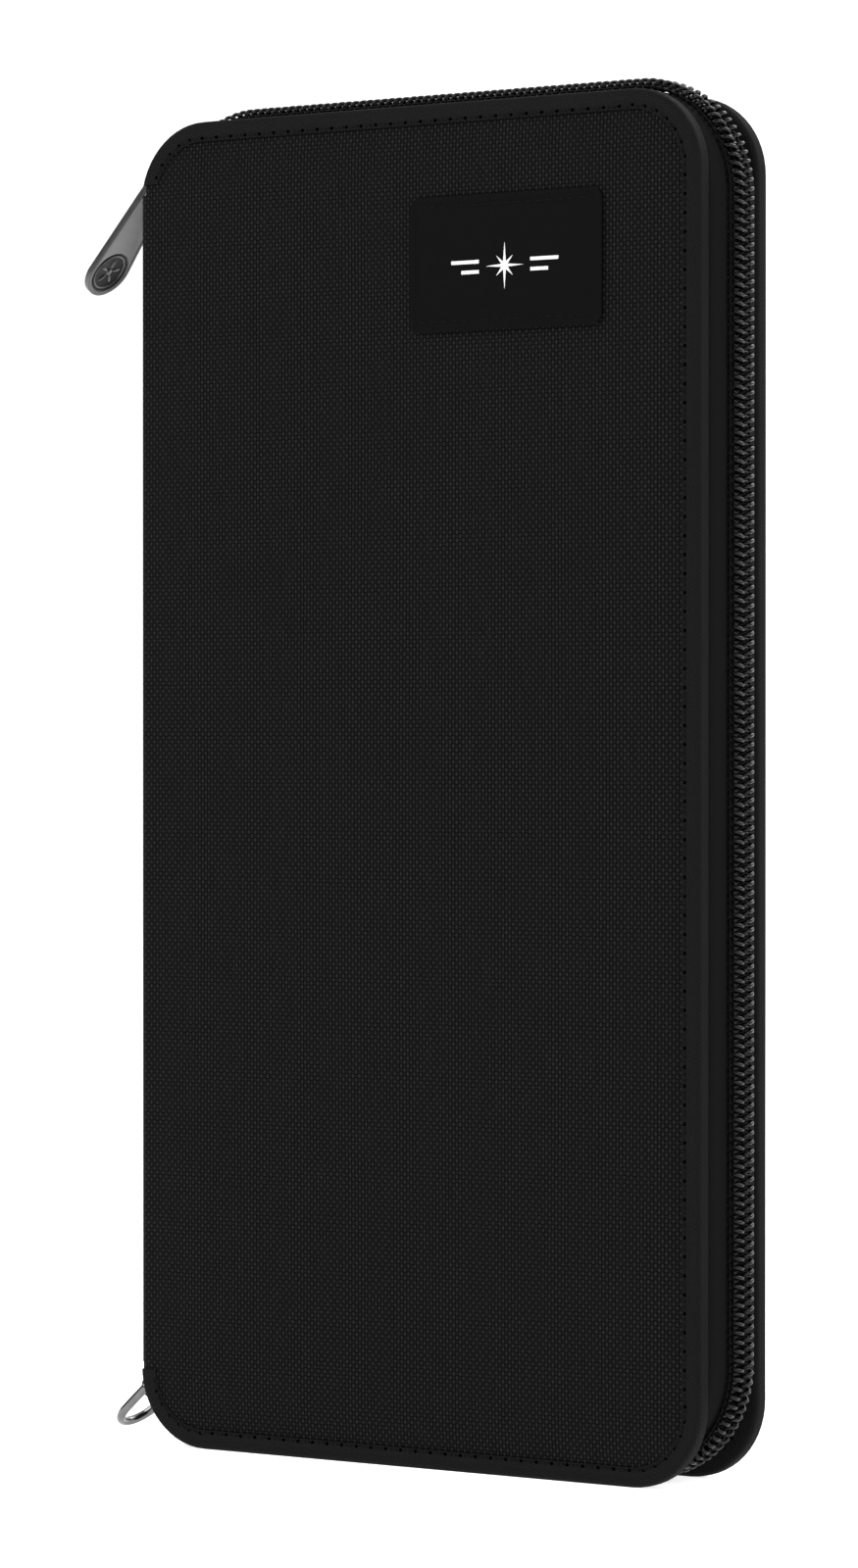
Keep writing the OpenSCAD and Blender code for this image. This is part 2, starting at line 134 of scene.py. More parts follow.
class Finish:
    """A material being made: its nodes, and the shader that they feed."""

    def __init__(self, name):
        self.material = bpy.data.materials.new(name)
        self.material.use_nodes = True
        self.tree = self.material.node_tree
        self.shader = self.tree.nodes["Principled BSDF"]

    def node(self, kind, settings=None, values=None, output=0):
        made = self.tree.nodes.new("ShaderNode" + kind)
        for key, value in (settings or {}).items():
            if key == "stops":
                ramp = made.color_ramp
                while len(ramp.elements) < len(value):
                    ramp.elements.new(0.5)
                for element, (place, colour) in zip(ramp.elements, value):
                    element.position = place
                    element.color = (*colour, 1)
            else:
                setattr(made, key, value)
        for key, value in (values or {}).items():
            self.plug(made.inputs[key], value)
        return Wire(self, made.outputs[output])

    def plug(self, socket, value):
        if isinstance(value, Wire):
            self.tree.links.new(value.socket, socket)
        elif hasattr(value, "__len__") and socket.type == "RGBA":
            socket.default_value = (*value, 1)
        else:
            socket.default_value = value

    def shade(self, **values):
        for key, value in values.items():
            self.plug(self.shader.inputs[key.replace("_", " ").title().replace("Ior", "IOR")], value)

    def bump(self, height, distance, strength=1.0):
        self.shade(normal=self.node("Bump", {}, {"Height": height, "Distance": distance,
                                                 "Strength": strength}))

    def place(self, source="Object"):
        return self.node("TexCoord", {}, {}, source)

    def axes(self, vector):
        return [self.node("SeparateXYZ", {}, {0: vector}, i) for i in range(3)]

    def noise(self, vector, scale, detail=2.0, roughness=0.5):
        return self.node("TexNoise", {}, {"Vector": vector, "Scale": scale, "Detail": detail,
                                          "Roughness": roughness})

    def mix(self, factor, low, high):
        return self.node("MixRGB", {}, {"Fac": factor, "Color1": low, "Color2": high})


def deselect():
    if bpy.context.object and bpy.context.object.mode != "OBJECT":
        bpy.ops.object.mode_set(mode="OBJECT")
    bpy.ops.object.select_all(action="DESELECT")


def put_finish(piece, finish):
    piece.data.materials.clear()
    piece.data.materials.append(finish.material)


paper = Finish("pale_paper")
paper.shade(base_color=paper.mix(paper.noise(paper.place(), 6.0), (0.9, 0.9, 0.895), (0.93, 0.93, 0.925)),
            roughness=0.75, emission_color=(1, 1, 1), emission_strength=0.75)
floor_reach = 2.4
deselect()
bpy.ops.mesh.primitive_plane_add(size=2 * floor_reach, location=(0, 0, 0))
floor = bpy.context.object
floor.name = "floor"
bpy.ops.object.mode_set(mode="EDIT")
bpy.ops.mesh.select_all(action="DESELECT")
mesh = bmesh.from_edit_mesh(floor.data)
for edge in mesh.edges:
    edge.select = all(v.co.y > 0 for v in edge.verts)
bpy.ops.mesh.extrude_region_move(TRANSFORM_OT_translate={"value": (0, 0, floor_reach)})
mesh = bmesh.from_edit_mesh(floor.data)
for edge in mesh.edges:
    edge.select = all(v.co.y > 0 and v.co.z < 0.1 for v in edge.verts)
bpy.ops.mesh.bevel(offset=0.9, segments=14)
bpy.ops.object.mode_set(mode="OBJECT")
bpy.ops.object.shade_smooth()
put_finish(floor, paper)

for name, place, size, power in (("overhead", (-0.55, -0.75, 1.15), (1.1, 0.8), 17),
                                 ("zip_side", (1.15, -0.25, 0.55), (0.35, 1.1), 9),
                                 ("behind", (0.3, 1.0, 1.0), (1.0, 0.6), 8)):
    deselect()
    aim = Vector((0, 0, 0.12)) - Vector(place)
    bpy.ops.object.light_add(type="AREA", location=place, rotation=aim.to_track_quat("-Z", "Y").to_euler())
    light = bpy.context.object
    light.name = "light_" + name
    light.data.shape = "RECTANGLE"
    light.data.size, light.data.size_y = size
    light.data.energy = power
world = bpy.data.worlds.new("studio")
bpy.context.scene.world = world
world.use_nodes = True
dim_front, bright_back = (0.16, 0.16, 0.165, 1), (1, 1, 1, 1)
dim_until, bright_from = 0.3, 0.62
studio_strength = 1.25
sky = world.node_tree.nodes
direction = sky.new("ShaderNodeTexCoord")
split = sky.new("ShaderNodeSeparateXYZ")
shift = sky.new("ShaderNodeMath")
shift.operation = "MULTIPLY_ADD"
shift.inputs[1].default_value = shift.inputs[2].default_value = 0.5
ramp = sky.new("ShaderNodeValToRGB")
front_stop, back_stop = ramp.color_ramp.elements
front_stop.position, back_stop.position = dim_until, bright_from
front_stop.color, back_stop.color = dim_front, bright_back
for start, end in ((direction.outputs["Generated"], split.inputs[0]),
                   (split.outputs["Y"], shift.inputs[0]),
                   (shift.outputs[0], ramp.inputs["Fac"]),
                   (ramp.outputs["Color"], sky["Background"].inputs["Color"])):
    world.node_tree.links.new(start, end)
sky["Background"].inputs["Strength"].default_value = studio_strength
bpy.context.scene.view_settings.view_transform = "Standard"

# ---------------------------------------------------------------------------------------------------------
# Cover cloth: black plain-weave polyester over thin foam. Each cover's cloth is one piece that runs from
# under the binding, over the cover, round the crease and half way across the spine, and it bends there.
cover_r = 14.5 * mm
binding_w = 3.6 * mm
cover_top_gap = 11 * mm
cover_bottom_gap = 14 * mm
tape_t = 0.4 * mm
back_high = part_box("back_panel")[1]
front_low, front_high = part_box("front_panel")
middle_y = (cover_low.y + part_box("back_binding")[1].y) / 2
spine_low, spine_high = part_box("spine_panel")
weave_pitch = 0.72 * mm


def weave(finish, coords, pitch, along=0.25):
    """Height of a plain weave, from 0 between the threads to 1 on their crowns."""
    u, v, _ = finish.axes(coords)
    u, v = u / pitch, v / pitch
    over = (u.floor() + v.floor()) % 2
    across_u = (u.fract() - 0.5) * (u.fract() - 0.5) * 4
    across_v = (v.fract() - 0.5) * (v.fract() - 0.5) * 4
    warp = (1 - across_u) * (1 - across_v * along)
    weft = (1 - across_v) * (1 - across_u * along)
    return over * warp + (1 - over) * weft * 0.62


outer_cloth = Finish("outer_cloth")
cloth_uv = outer_cloth.place("UV")
threads = weave(outer_cloth, cloth_uv, weave_pitch)
slub = outer_cloth.noise(outer_cloth.node("Mapping", {}, {"Vector": cloth_uv, "Scale": (1, 0.08, 1)}), 1600.0)
patchy = outer_cloth.noise(cloth_uv, 45.0, 3.0)
# Painted light: the base colour is near black between the threads, a painted shade, and lighter on the thread
# crowns, a painted sheen; slub and patchy noise add tone that varies at random.
gap_shade_tone, crown_sheen_tone = (0.0001, 0.0001, 0.0002), (0.0195, 0.0195, 0.02)
crown_sheen_and_slub = threads * threads * (slub * 0.6 + patchy * 0.3 + 0.4)
outer_cloth.shade(base_color=outer_cloth.mix(crown_sheen_and_slub, gap_shade_tone, crown_sheen_tone),
                  roughness=0.62 + 0.2 * patchy - 0.1 * threads, sheen_weight=0.002, sheen_roughness=0.5,
                  specular_ior_level=0.035)
outer_cloth.bump(threads + slub * 0.25, 0.2 * mm, 1.0)


def select_faces(piece, wanted):
    """Selects the faces for which wanted(face) is true, in edit mode."""
    mesh = bmesh.from_edit_mesh(piece.data)
    mesh.select_mode = {"FACE"}
    for face in mesh.faces:
        face.select_set(bool(wanted(face)))
    mesh.select_flush_mode()
    bmesh.update_edit_mesh(piece.data)


def select_edges(piece, wanted):
    mesh = bmesh.from_edit_mesh(piece.data)
    mesh.select_mode = {"EDGE"}
    bpy.ops.mesh.select_all(action="DESELECT")
    for edge in mesh.edges:
        edge.select_set(bool(wanted(edge)))
    mesh.select_flush_mode()
    bmesh.update_edit_mesh(piece.data)


def rounded_block(name, low, high, r, segments=10):
    """A block with its four upright corners, seen from the front, rounded to r. It is left in edit mode."""
    deselect()
    low, high = Vector(low), Vector(high)
    bpy.ops.mesh.primitive_cube_add(size=1, location=(low + high) / 2)
    block = bpy.context.object
    block.name = name
    block.scale = high - low
    bpy.ops.object.transform_apply(location=True, rotation=True, scale=True)
    bpy.ops.object.mode_set(mode="EDIT")
    select_edges(block, lambda e: abs(e.verts[0].co.y - e.verts[1].co.y) > 1e-6)
    bpy.ops.mesh.bevel(offset=r, segments=segments, affect="EDGES")
    return block


def thicken(piece, thickness, offset=-1):
    solid = piece.modifiers.new("thick", "SOLIDIFY")
    solid.thickness = thickness
    solid.offset = offset
    deselect()
    piece.select_set(True)
    bpy.context.view_layer.objects.active = piece
    bpy.ops.object.modifier_apply(modifier="thick")


def smooth(piece, degrees=35):
    deselect()
    piece.select_set(True)
    bpy.context.view_layer.objects.active = piece
    bpy.ops.object.shade_smooth_by_angle(angle=math.radians(degrees))


def cloth_swell(x, z, out):
    """How far a cover's cloth stands out from the flat cover at x, z, over its foam."""
    inside = min(front_high.x - x, z - front_low.z, front_high.z - z)
    from_spine = x - front_low.x
    puff = 0.55 * mm * (1 - math.exp(-max(0, inside - binding_w) / (3.5 * mm)))
    puff *= 1 - math.exp(-max(0, from_spine) / (9 * mm))
    wave = 0.16 * mm * math.sin(x * 61 + 1.3 * out) * math.sin(z * 37 + 0.6)
    return puff + wave * max(0, min(1, min(inside, from_spine) / (20 * mm)))


def fold_cloth(name, face_y, out, turn_x, turn_r, finish, flip):
    """Cloth of one cover: flat at face_y, then round the crease at turn_x and half across the spine."""
    low_x, high_x = front_low.x, front_high.x
    low_z, high_z = front_low.z, front_high.z
    top, bottom = cover_high.z - cover_top_gap, cover_bottom_gap
    spine_half = abs(face_y - middle_y)
    crease_l = turn_r * math.pi / 2
    flat_low_x = turn_x + turn_r - crease_l - (spine_half - turn_r)
    deselect()
    bpy.ops.mesh.primitive_grid_add(x_subdivisions=92, y_subdivisions=98, size=1,
                                    location=((high_x + flat_low_x) / 2, face_y, (low_z + high_z) / 2),
                                    rotation=(math.pi / 2, 0, 0))
    cloth = bpy.context.object
    cloth.name = name
    cloth.scale = (high_x - flat_low_x, high_z - low_z, 1)
    bpy.ops.object.transform_apply(location=True, rotation=True, scale=True)
    bpy.ops.object.mode_set(mode="EDIT")
    for z in (bottom, spine_high.z, top):
        bpy.ops.mesh.select_all(action="SELECT")
        bpy.ops.mesh.bisect(plane_co=(0, 0, z), plane_no=(0, 0, 1))
    for x in (low_x, turn_x + turn_r - crease_l):
        bpy.ops.mesh.select_all(action="SELECT")
        bpy.ops.mesh.bisect(plane_co=(x, 0, 0), plane_no=(1, 0, 0))
    r = cover_r - tape_t
    for side_x, side_z in ((-1, -1), (-1, 1), (1, -1), (1, 1)):
        corner = Vector((low_x + r if side_x < 0 else high_x - r, face_y,
                         low_z + r if side_z < 0 else high_z - r))
        for step in range(1, 6):
            angle = math.radians(15 * step)
            outward = Vector((side_x * math.cos(angle), 0, side_z * math.sin(angle)))

            def in_corner(face):
                centre = face.calc_center_median()
                near = centre.z > top if side_z > 0 else centre.z < bottom
                return ((near or side_x > 0) and (centre.z - corner.z) * side_z > 0
                        and (centre.x - corner.x) * side_x > 0)

            select_faces(cloth, in_corner)
            bpy.ops.mesh.bisect(plane_co=corner + outward * r, plane_no=outward, clear_outer=True)
    select_faces(cloth, lambda f: f.calc_center_median().x < low_x
                 and not bottom < f.calc_center_median().z < top)
    bpy.ops.mesh.delete(type="FACE")
    select_faces(cloth, lambda f: f.calc_center_median().x < turn_x + turn_r - crease_l
                 and f.calc_center_median().z > spine_high.z)
    bpy.ops.mesh.delete(type="FACE")
    mesh = bmesh.from_edit_mesh(cloth.data)
    uv = mesh.loops.layers.uv.verify()
    for face in mesh.faces:
        for loop in face.loops:
            loop[uv].uv = (loop.vert.co.x, loop.vert.co.z)
    for vert in mesh.verts:
        x, z = vert.co.x, vert.co.z
        y = face_y + (0 if flip else out * cloth_swell(x, z, out))
        past = turn_x + turn_r - x
        if past > 0:
            turn = min(past / turn_r, math.pi / 2)
            x = turn_x + turn_r - turn_r * math.sin(turn)
            y = face_y - out * (turn_r * (1 - math.cos(turn)) + max(0, past - crease_l))
        vert.co = (x, y, z)
    bpy.ops.mesh.select_all(action="SELECT")
    bpy.ops.mesh.normals_make_consistent(inside=False)
    bpy.ops.object.mode_set(mode="OBJECT")
    middle = cloth.data.polygons[len(cloth.data.polygons) // 2]
    if middle.normal.y * out * (-1 if flip else 1) < 0:
        cloth.data.flip_normals()
    thicken(cloth, 0.5 * mm)
    bpy.ops.object.shade_smooth()
    put_finish(cloth, finish)
    face_y - out * turn_r
    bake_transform(cloth)
    width = high_x - flat_low_x
    return cloth


crease_r = 1.6 * mm
front_cloth = fold_cloth("front_cloth", front_low.y, -1, spine_low.x, crease_r,
                         outer_cloth, False)
back_cloth = fold_cloth("back_cloth", back_high.y, 1, spine_low.x, crease_r,
                        outer_cloth, False)
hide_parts("front_panel", "spine_panel")
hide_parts("back_panel")

# ---------------------------------------------------------------------------------------------------------
# Binding: black twill tape folded over the raw edge of each cover and sewn through all the layers. It is
# open along the spine, where its two ends make small steps.
class EdgeLine:
    """Line round a cover, from the spine's lower corner by the bottom, the side and the top."""

    def __init__(self, low_x, low_z, high_x, high_z, r):
        self.low_x, self.low_z, self.high_x, self.high_z, self.r = low_x, low_z, high_x, high_z, r
        self.quarter = r * math.pi / 2
        width, height = high_x - low_x - 2 * r, high_z - low_z - 2 * r
        self.runs = (width, height, width, 0)
        self.length = 2 * width + height + 4 * self.quarter
        self.corners = ((low_x + r, low_z + r), (high_x - r, low_z + r),
                        (high_x - r, high_z - r), (low_x + r, high_z - r))

    def at(self, s, out=0.0):
        """Point at distance s, moved outwards by out, and the direction that faces outwards there."""
        for i, (x, z) in enumerate(self.corners):
            if s < self.quarter or i == 3:
                angle = math.pi + i * math.pi / 2 + s / self.r
                facing = Vector((math.cos(angle), 0, math.sin(angle)))
                return Vector((x, 0, z)) + facing * (self.r + out), facing
            s -= self.quarter
            if s < self.runs[i]:
                angle = math.pi * (1.5 + i / 2)
                facing = Vector((math.cos(angle), 0, math.sin(angle)))
                ahead = Vector((-facing.z, 0, facing.x))
                return Vector((x, 0, z)) + facing * (self.r + out) + ahead * s, facing
            s -= self.runs[i]

    def measure(self, x, z):
        """Distance along the line and outwards from it, of the point nearest to x, z."""
        s = 0
        near_x = min(max(x, self.low_x + self.r), self.high_x - self.r)
        near_z = min(max(z, self.low_z + self.r), self.high_z - self.r)
        across = Vector((x - near_x, z - near_z))
        width, height = self.runs[0], self.runs[1]
        if across.x < 0 and across.y <= 0:
            s = (math.atan2(across.y, across.x) % (2 * math.pi) - math.pi) * self.r
        elif across.x < 0:
            s = self.length - (math.pi - math.atan2(across.y, across.x)) * self.r
        elif across.y < 0 and across.x == 0:
            s = self.quarter + x - self.low_x - self.r
        elif across.y < 0:
            s = self.quarter + width + (math.atan2(across.y, across.x) + math.pi / 2) * self.r
        elif across.y == 0:
            s = 2 * self.quarter + width + z - self.low_z - self.r
        elif across.x > 0:
            s = 2 * self.quarter + width + height + math.atan2(across.y, across.x) * self.r
        else:
            s = 3 * self.quarter + width + height + self.high_x - self.r - x
        return s, across.length - self.r


cover_line = EdgeLine(cover_low.x, cover_low.z, cover_high.x, cover_high.z, cover_r)

binding_tape = Finish("binding_tape")
u, v, _ = binding_tape.axes(binding_tape.place("UV"))
rib_pitch, rib_turn = 0.8 * mm, 2.4 * mm
zigzag = ((v / rib_turn).fract() - 0.5).abs() * rib_turn * 2
ribs = ((u + zigzag) / rib_pitch * 2 * math.pi).sine() * 0.5 + 0.5
fuzz = binding_tape.noise(binding_tape.place("UV"), 2600.0, 2.0)
worn = binding_tape.noise(binding_tape.place(), 70.0, 3.0)
binding_tape.shade(base_color=binding_tape.mix(ribs * 0.55 + fuzz * 0.45, (0.0002, 0.0002, 0.0003),
                                               (0.0125, 0.0123, 0.0123)),
                   roughness=0.6 + 0.2 * worn, sheen_weight=0.004, sheen_roughness=0.45,
                   specular_ior_level=0.045)
binding_tape.bump(ribs * 0.7 + fuzz * 0.5, 0.16 * mm, 1.0)


def unroll(piece, line, mid_y):
    """UV map: along the line, and across the tape from its front edge to its back edge."""
    layer = piece.data.uv_layers.active or piece.data.uv_layers.new(name="along_tape")
    for loop in piece.data.loops:
        p = piece.data.vertices[loop.vertex_index].co
        s, out = line.measure(p.x, p.z)
        side = 1 if p.y > mid_y else -1
        layer.data[loop.index].uv = (s, p.y - mid_y + side * max(0, -out))


def binding(name, node, body):
    low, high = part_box(node)
    mid_y = (low.y + high.y) / 2
    tape = rounded_block(name, low, high, cover_r, 14)
    select_faces(tape, lambda f: abs(f.normal.y) > 0.9)
    bpy.ops.mesh.inset(thickness=binding_w)
    bpy.ops.mesh.delete(type="FACE")
    select_edges(tape, lambda e: abs(e.verts[0].co.y - e.verts[1].co.y) < 1e-6 and all(
        cover_line.measure(v.co.x, v.co.z)[1] > -0.1 * mm for v in e.verts))
    bpy.ops.mesh.bevel(offset=0.9 * mm, segments=4, affect="EDGES")
    for z in (cover_bottom_gap, cover_high.z - cover_top_gap):
        bpy.ops.mesh.select_all(action="SELECT")
        bpy.ops.mesh.bisect(plane_co=(0, 0, z), plane_no=(0, 0, 1))
    select_faces(tape, lambda f: f.calc_center_median().x < cover_low.x + cover_r
                 and cover_bottom_gap < f.calc_center_median().z < cover_high.z - cover_top_gap)
    bpy.ops.mesh.delete(type="FACE")
    bpy.ops.mesh.select_all(action="SELECT")
    bpy.ops.mesh.normals_make_consistent(inside=False)
    bpy.ops.object.mode_set(mode="OBJECT")
    thicken(tape, tape_t)
    unroll(tape, cover_line, mid_y)
    smooth(tape)
    put_finish(tape, binding_tape)
    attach(tape, body)
    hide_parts(node)
    return tape


binding("front_binding_tape", "front_binding", "front_cover")
binding("back_binding_tape", "back_binding", "back_cover")

# ---------------------------------------------------------------------------------------------------------
# Zip: two herringbone tapes that come out from under the binding, a nylon coil sewn on each with a row of
# lock stitches, and black end stops. The coils' turns lie in each other's gaps down the middle.
zip_r = 20 * mm
zip_lift = 1.6 * mm
coil_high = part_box("back_zip_coil")[1]
coil_t = 2.3 * mm
zip_line = EdgeLine(cover_low.x, zip_lift, coil_high.x - coil_t / 2, coil_high.z - coil_t / 2, zip_r)
zip_end = math.radians(45) * zip_r
coil_pitch = 1.62 * mm


def sweep(name, line, stations, profile):
    """A sheet whose section is the profile, points (outwards, y), carried along the line."""
    mesh = bpy.data.meshes.new(name)
    rows = []
    for s in stations:
        for out, y in profile:
            point, _ = line.at(s, out)
            rows.append((point.x, y, point.z))
    n = len(profile)
    faces = [(i * n + j, (i + 1) * n + j, (i + 1) * n + j + 1, i * n + j + 1)
             for i in range(len(stations) - 1) for j in range(n - 1)]
    mesh.from_pydata(rows, [], faces)
    piece = bpy.data.objects.new(name, mesh)
    bpy.context.collection.objects.link(piece)
    across = [0]
    for (a, b), (c, d) in zip(profile, profile[1:]):
        across.append(across[-1] + math.hypot(c - a, d - b))
    layer = mesh.uv_layers.new(name="along_tape")
    for loop in mesh.loops:
        i, j = divmod(loop.vertex_index, n)
        layer.data[loop.index].uv = (stations[i], across[j])
    return piece


def face_outwards(piece, line):
    """Turns a swept sheet's faces so that they look away from the line's inside."""
    face = piece.data.polygons[len(piece.data.polygons) // 2]
    _, facing = line.at(line.measure(face.center.x, face.center.z)[0])
    if face.normal.dot(facing) < 0:
        piece.data.flip_normals()


zip_cloth = Finish("zip_cloth")
u, v, _ = zip_cloth.axes(zip_cloth.place("UV"))
zip_rib, zip_turn = 0.62 * mm, 1.5 * mm
slant = ((v / zip_turn).fract() - 0.5).abs() * zip_turn * 2.4
zip_ribs = ((u + slant) / zip_rib * 2 * math.pi).sine() * 0.5 + 0.5
zip_fuzz = zip_cloth.noise(zip_cloth.place("UV"), 2200.0)
zip_cloth.shade(base_color=zip_cloth.mix(zip_ribs * 0.6 + zip_fuzz * 0.4, (0.0003, 0.0003, 0.0004),
                                         (0.0085, 0.0085, 0.009)),
                roughness=0.7 + 0.1 * zip_fuzz, sheen_weight=0.004, sheen_roughness=0.5,
                specular_ior_level=0.05)
zip_cloth.bump(zip_ribs + zip_fuzz * 0.4, 0.14 * mm, 0.9)

coil_nylon = Finish("coil_nylon")
scuff = coil_nylon.noise(coil_nylon.place(), 900.0, 3.0)
coil_nylon.shade(base_color=coil_nylon.mix(scuff, (0.0015, 0.0015, 0.0015), (0.004, 0.004, 0.0042)),
                 roughness=0.16 + 0.12 * scuff, specular_ior_level=0.15)
coil_nylon.bump(scuff, 0.03 * mm, 0.5)

thread = Finish("sewing_thread")
ply = thread.node("TexWave", {"wave_type": "BANDS", "bands_direction": "DIAGONAL"},
                  {"Vector": thread.place(), "Scale": 620.0, "Distortion": 1.5, "Detail": 1.0}, "Fac")
thread.shade(base_color=thread.mix(ply, (0.0003, 0.0003, 0.0004), (0.0035, 0.0035, 0.0038)), roughness=0.55,
             sheen_weight=0.004, sheen_roughness=0.4, specular_ior_level=0.05)
thread.bump(ply, 0.08 * mm, 0.8)


def stitch(length, width, height):
    """One stitch, lying along X and standing up along Z: the mesh that every row of sewing copies."""
    deselect()
    bpy.ops.mesh.primitive_uv_sphere_add(segments=8, ring_count=6, radius=0.5, rotation=(0, math.pi / 2, 0))
    one = bpy.context.object
    bpy.ops.object.transform_apply(rotation=True)
    for vert in one.data.vertices:
        x = vert.co.x
        full = max(0, 1 - (2 * abs(x)) ** 4) ** 0.5
        ring = Vector((0, vert.co.y, vert.co.z))
        ring = ring.normalized() * 0.5 * full if ring.length > 1e-6 else ring
        vert.co = (x * length, ring.y * width, ring.z * height)
    return one


def sew(name, one, places, finish, body):
    """Copies one stitch to every place, a matrix, as one piece."""
    rows = bmesh.new()
    for place in places:
        before = len(rows.verts)
        rows.from_mesh(one.data)
        rows.verts.ensure_lookup_table()
        bmesh.ops.transform(rows, matrix=place, verts=rows.verts[before:])
    mesh = bpy.data.meshes.new(name)
    rows.to_mesh(mesh)
    rows.free()
    row = bpy.data.objects.new(name, mesh)
    bpy.context.collection.objects.link(row)
    smooth(row, 60)
    put_finish(row, finish)
    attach(row, body)
    return row


def stand(point, ahead, up):
    """Matrix that puts a stitch at point, with its length along ahead and its top towards up."""
    side = up.cross(ahead).normalized()
    turn = Matrix((ahead, side, up)).transposed().to_4x4()
    return Matrix.Translation(point) @ turn


lock_stitch = stitch(1.5 * mm, 0.62 * mm, 0.6 * mm)


def zip_half(prefix, side, node_tape, node_coil, node_stops, body):
    """side is 1 for the back cover's half and -1 for the front cover's half."""
    root_y = middle_y + side * abs(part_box(node_tape)[1 if side > 0 else 0].y - middle_y)
    first, last = zip_end, zip_line.length - zip_end
    steps = 260
    stations = [first + (last - first) * i / steps for i in range(steps + 1)]
    profile = [(-2.5 * mm, root_y), (-1.9 * mm, root_y - side * 0.7 * mm),
               (-1.5 * mm, root_y - side * 1.7 * mm), (-1.25 * mm, middle_y + side * 4.2 * mm),
               (-1.15 * mm, middle_y + side * 3.0 * mm), (-1.15 * mm, middle_y + side * 0.6 * mm)]
    tape = sweep(prefix + "_tape_cloth", zip_line, stations, profile)
    face_outwards(tape, zip_line)
    thicken(tape, 0.45 * mm)
    smooth(tape)
    put_finish(tape, zip_cloth)
    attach(tape, body)
    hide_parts(node_tape)

    stop_l = 2 * mm
    turns = int((last - first - 2 * stop_l) / coil_pitch)
    per_turn = 12
    wire_r = 0.37 * mm
    loop_middle, loop_reach, loop_rise = 1.56 * mm, 1.16 * mm, 0.78 * mm
    wire = bpy.data.curves.new(prefix + "_coil_wire", "CURVE")
    wire.dimensions = "3D"
    wire.bevel_depth = wire_r
    wire.bevel_resolution = 1
    spline = wire.splines.new("POLY")
    spline.points.add(turns * per_turn)
    for i in range(turns * per_turn + 1):
        phase = 2 * math.pi * i / per_turn
        s = first + stop_l + coil_pitch * (i / per_turn + (0.5 if side > 0 else 0))
        reach, lift = math.cos(phase), math.sin(phase)
        reach = math.copysign(abs(reach) ** 0.8, reach)
        out = loop_rise * lift
        y = middle_y + side * (loop_middle - loop_reach * reach)
        point, _ = zip_line.at(min(s, last - stop_l), out)
        spline.points[i].co = (point.x, y, point.z, 1)
    coil = bpy.data.objects.new(prefix + "_coil_wire", wire)
    bpy.context.collection.objects.link(coil)
    deselect()
    coil.select_set(True)
    bpy.context.view_layer.objects.active = coil
    bpy.ops.object.convert(target="MESH")
    coil = bpy.context.object
    smooth(coil, 80)
    put_finish(coil, coil_nylon)
    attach(coil, body)
    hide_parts(node_coil)

    places = []
    for i in range(turns):
        point, facing = zip_line.at(first + stop_l + (i + 0.5) * coil_pitch, -0.55 * mm)
        point.y = middle_y + side * 3.12 * mm
        ahead = Vector((-facing.z, 0, facing.x))
        places.append(stand(point, ahead, facing))
    sew(prefix + "_coil_stitches", lock_stitch, places, thread, body)

    ends = []
    for s in (first + stop_l / 2, last - stop_l / 2):
        point, facing = zip_line.at(s)
        ends.append((point, facing))
    deselect()
    blocks = []
    for point, facing in ends:
        bpy.ops.mesh.primitive_cube_add(size=1)
        block = bpy.context.object
        block.scale = (stop_l, 2.7 * mm, coil_t)
        bpy.ops.object.transform_apply(scale=True)
        bpy.ops.object.mode_set(mode="EDIT")
        bpy.ops.mesh.select_all(action="SELECT")
        bpy.ops.mesh.bevel(offset=0.35 * mm, segments=3)
        bpy.ops.object.mode_set(mode="OBJECT")
        point.y = middle_y + side * 1.93 * mm
        block.data.transform(stand(point, Vector((-facing.z, 0, facing.x)), facing))
        blocks.append(block)
    deselect()
    for block in blocks:
        block.select_set(True)
    bpy.context.view_layer.objects.active = blocks[0]
    bpy.ops.object.join()
    stops = bpy.context.object
    stops.name = prefix + "_end_stops"
    smooth(stops)
    put_finish(stops, coil_nylon)
    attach(stops, body)
    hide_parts(node_stops)


zip_half("front_zip", -1, "front_zip_tape", "front_zip_coil", "front_zip_stops", "front_cover")
zip_half("back_zip", 1, "back_zip_tape", "back_zip_coil", "back_zip_stops", "back_cover")

# ---------------------------------------------------------------------------------------------------------
# Binding seam: black thread through the binding's inner edge, sunk between needle holes, which are thin near-black
# patches of painted shade. The same row shows inside the cover.
seam_pitch = 3.3 * mm
seam_inset = 3.1 * mm
seam_stitch = stitch(2.3 * mm, 0.5 * mm, 0.3 * mm)
needle_hole = stitch(0.75 * mm, 0.6 * mm, 0.12 * mm)
# Painted shade: the needle holes are thin near-black patches laid on the binding between the stitches, standing in
# for the shade inside each hole; the noise only varies that shade.
hole_shade_finish = Finish("needle_hole_shadow")
hole_shade_mottle = hole_shade_finish.noise(hole_shade_finish.place(), 2000.0)
hole_shade_finish.shade(base_color=hole_shade_finish.mix(hole_shade_mottle, (0.0001, 0.0001, 0.0001), (0.0006, 0.0006, 0.0006)),
                roughness=0.95, specular_ior_level=0.0)
binding_start = math.asin((cover_r - cover_bottom_gap) / cover_r) * cover_r
binding_stop = cover_line.length - math.asin((cover_r - cover_top_gap) / cover_r) * cover_r
for name, node, body in (("front", "front_binding", "front_cover"), ("back", "back_binding", "back_cover")):
    low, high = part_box(node)
    places = []
    for face_y, up in ((low.y, Vector((0, -1, 0))), (high.y, Vector((0, 1, 0)))):
        s = binding_start + seam_pitch
        while s < binding_stop - seam_pitch / 2:
            point, facing = cover_line.at(s, -seam_inset)
            point.y = face_y - up.y * 0.02 * mm
            places.append(stand(point, Vector((-facing.z, 0, facing.x)), up))
            s += seam_pitch
    sew(name + "_binding_seam", seam_stitch, places, thread, body)
    ahead_half = Matrix.Translation((seam_pitch / 2, 0, 0.03 * mm))
    sew(name + "_needle_holes", needle_hole, [place @ ahead_half for place in places], hole_shade_finish,
        body)

